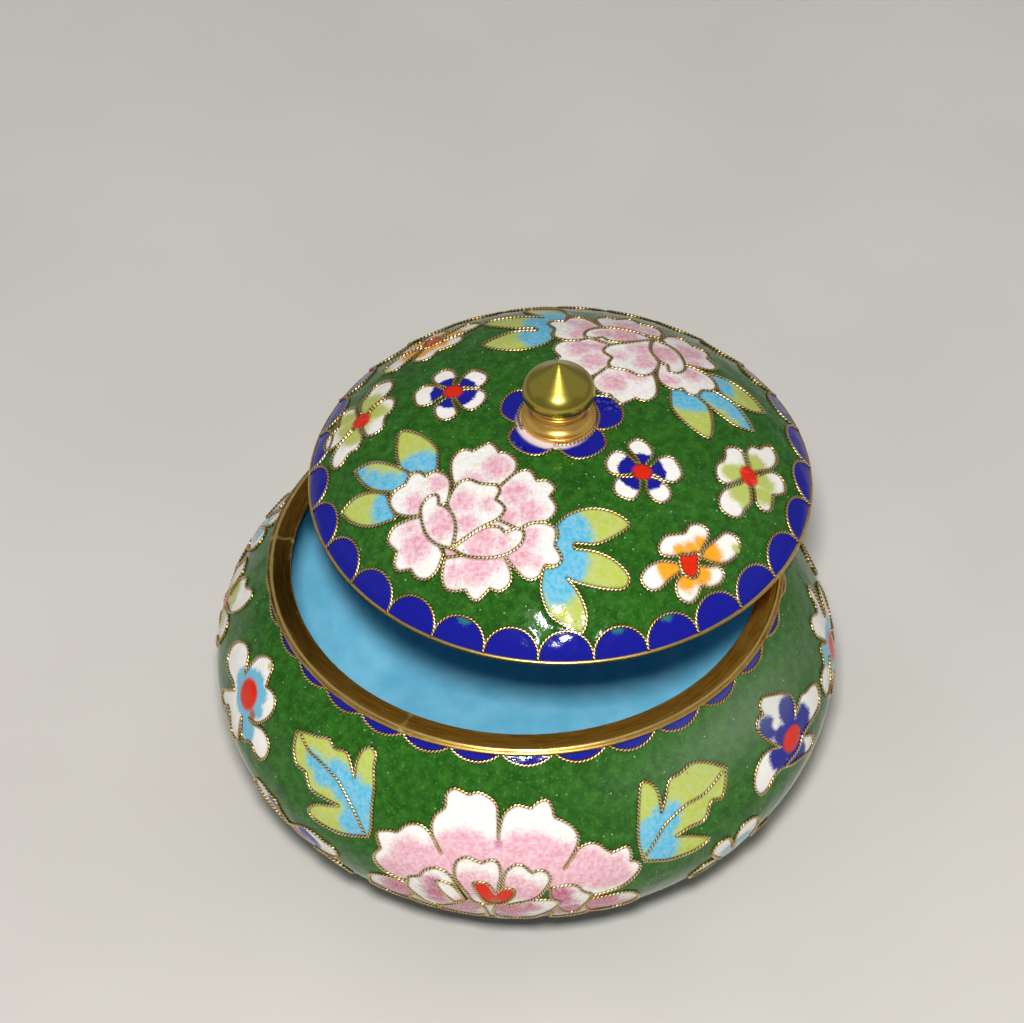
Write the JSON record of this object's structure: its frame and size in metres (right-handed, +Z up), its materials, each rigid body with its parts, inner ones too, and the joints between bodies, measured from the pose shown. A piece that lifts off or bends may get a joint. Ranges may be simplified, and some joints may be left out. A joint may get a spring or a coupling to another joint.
{
  "type": "cloisonne jar",
  "caption": "Squat round enamelled jar with a wide gilt-ringed mouth and a shallow domed lid with a ball finial, the lid pushed ajar.",
  "frame": {"origin": "centre of the box around the jar with its lid as it lies, on the table; the body's axis stands 3.7 mm in front of it", "axes": "+Z up along the body's axis; +Y away from the viewer, the way the lid is pushed; +X to the viewer's right"},
  "size_m": [0.1048, 0.1122, 0.0819],
  "materials": {
    "green_enamel": "glossy enamel over copper, with wire-outlined flowers",
    "gilt_brass": "worn gilt brass"
  },
  "bodies": {
    "root": {"jar_body": "green_enamel", "mouth_ring": "gilt_brass", "foot_ring": "gilt_brass", "lid_dome": "green_enamel", "lid_ring": "gilt_brass", "finial": "gilt_brass"}
  },
  "joints": []
}
